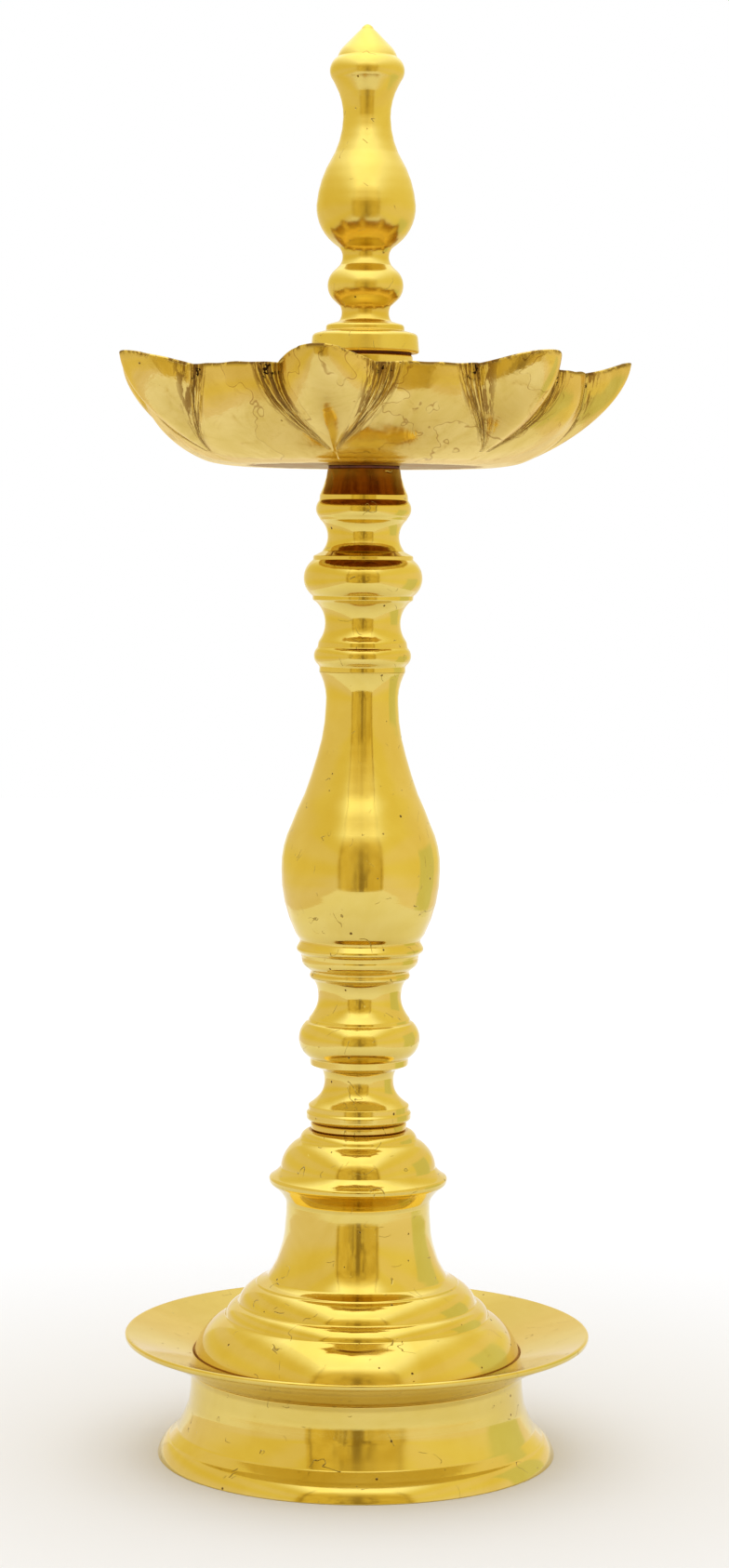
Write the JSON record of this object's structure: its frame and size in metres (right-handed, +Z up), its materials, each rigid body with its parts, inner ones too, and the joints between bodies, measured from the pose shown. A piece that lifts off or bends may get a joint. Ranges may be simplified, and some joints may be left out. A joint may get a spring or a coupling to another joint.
{
  "type": "standing oil lamp",
  "caption": "Turned brass standing oil lamp: hollow foot, drip tray and bell, slim baluster stem, beaked oil dish and pointed finial that screw together.",
  "frame": {"origin": "centre of the foot's bottom face, on the floor", "axes": "+Z up along the stem's axis; -Y is the side seen from the front, with one beak 9.6 degrees to the left of it"},
  "size_m": [0.1645, 0.1662, 0.457],
  "materials": {
    "polished_brass": "turned and polished, a little uneven from buffing",
    "cast_brass": "cast, filed and polished, brown tarnish in the creases and at the rim",
    "turned_brass": "plain machined threads, not polished",
    "leather": "matt oiled leather washer"
  },
  "bodies": {
    "base": {"foot_ring": "polished_brass", "drip_tray": "polished_brass", "base_bell": "polished_brass", "base_stud": "turned_brass", "base_stud_washer": "turned_brass", "base_stud_nut": "turned_brass"},
    "seat_ring": {"stem_seat_ring": "polished_brass"},
    "stem": {"stem_lower": "polished_brass", "lower_joint_stud": "turned_brass", "stem_baluster": "polished_brass", "upper_joint_stud": "turned_brass", "stem_upper": "polished_brass", "dish_stud": "turned_brass"},
    "dish_seal": {"dish_washer": "leather"},
    "dish": {"oil_dish": "cast_brass", "dish_hub": "polished_brass"},
    "finial_seal": {"finial_washer": "leather"},
    "finial": {"finial_stud": "turned_brass", "finial": "polished_brass"}
  },
  "joints": [
    {"name": "stem_rise", "type": "slide", "parent": "base", "child": "seat_ring", "axis": [0, 0, 1], "range_m": [0, 0.0127]},
    {"name": "stem_turn", "type": "hinge", "parent": "seat_ring", "child": "stem", "pos_m": [0, 0, 0.1079], "axis": [0, 0, 1], "range_deg": [0, 2880]},
    {"name": "dish_rise", "type": "slide", "parent": "stem", "child": "dish_seal", "axis": [0, 0, 1], "range_m": [0, 0.0127]},
    {"name": "dish_turn", "type": "hinge", "parent": "dish_seal", "child": "dish", "pos_m": [0, 0, 0.318], "axis": [0, 0, 1], "range_deg": [0, 2880]},
    {"name": "finial_rise", "type": "slide", "parent": "dish", "child": "finial_seal", "axis": [0, 0, 1], "range_m": [0, 0.0127]},
    {"name": "finial_turn", "type": "hinge", "parent": "finial_seal", "child": "finial", "pos_m": [0, 0, 0.3537], "axis": [0, 0, 1], "range_deg": [0, 2880]}
  ],
  "couplings": [
    {"joint": "stem_turn", "follows": "stem_rise", "rad_per_m": 3957.9},
    {"joint": "dish_turn", "follows": "dish_rise", "rad_per_m": 3957.9},
    {"joint": "finial_turn", "follows": "finial_rise", "rad_per_m": 3957.9}
  ]
}
